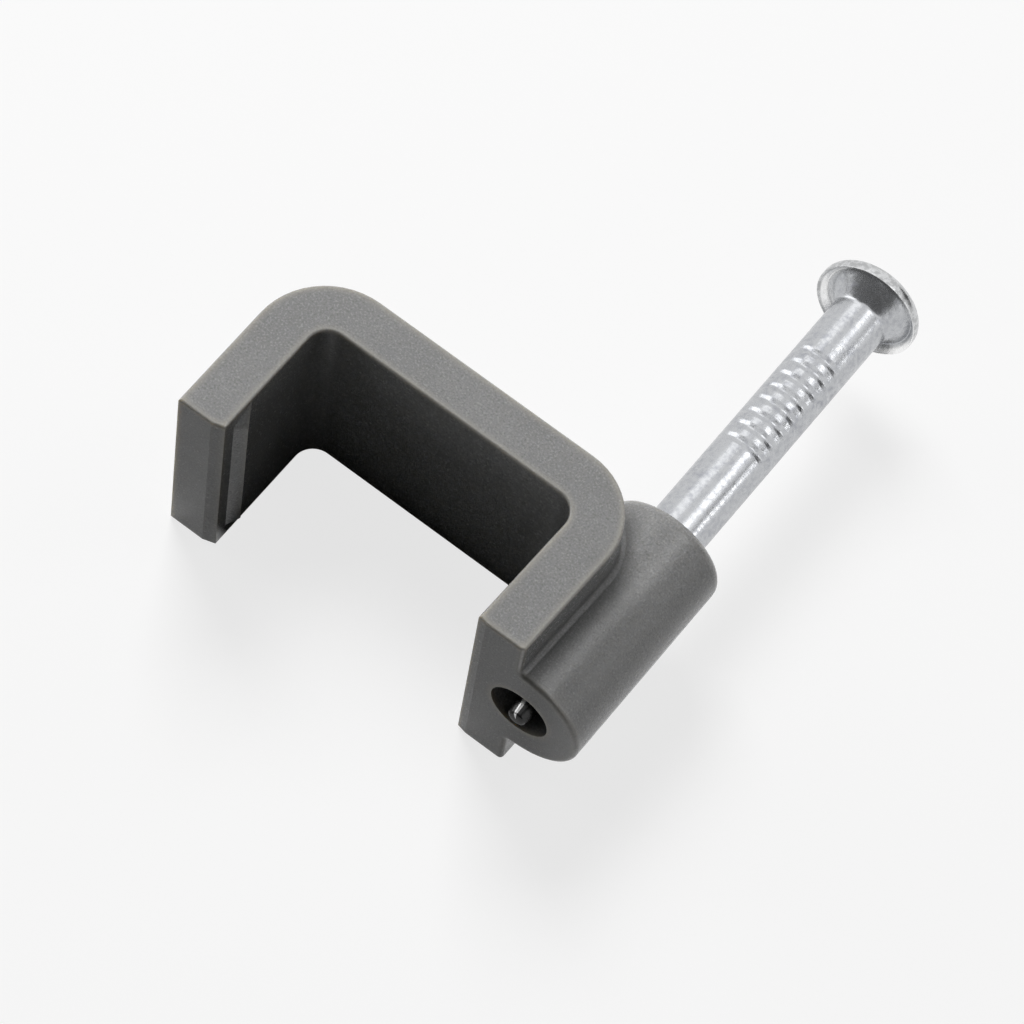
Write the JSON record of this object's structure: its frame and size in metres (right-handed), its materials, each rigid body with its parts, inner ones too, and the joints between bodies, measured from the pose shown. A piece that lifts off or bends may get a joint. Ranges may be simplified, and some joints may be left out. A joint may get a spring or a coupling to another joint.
{
  "type": "nail-in cable clip",
  "caption": "C-shaped plastic clip that holds a flat cable to a wall, with a ringed steel nail held ready in a boss on one leg.",
  "frame": {"origin": "where the nail's axis crosses the wall plane, at half the clip's depth along the cable", "axes": "+Y out of the wall along the nail towards its head, +Z along the cable, +X from the free leg towards the nail leg"},
  "size_m": [0.0159, 0.0198, 0.008],
  "materials": {
    "grey_plastic": "fine matte moulded",
    "zinc_steel": "bright zinc plated, lightly streaked"
  },
  "bodies": {
    "clip": {"clip_body": "grey_plastic"},
    "nail": {"masonry_nail": "zinc_steel"}
  },
  "joints": [
    {"name": "nail_drive_in", "type": "slide", "parent": "clip", "child": "nail", "axis": [0, -1, 0], "range_m": [0, 0.0103]}
  ]
}
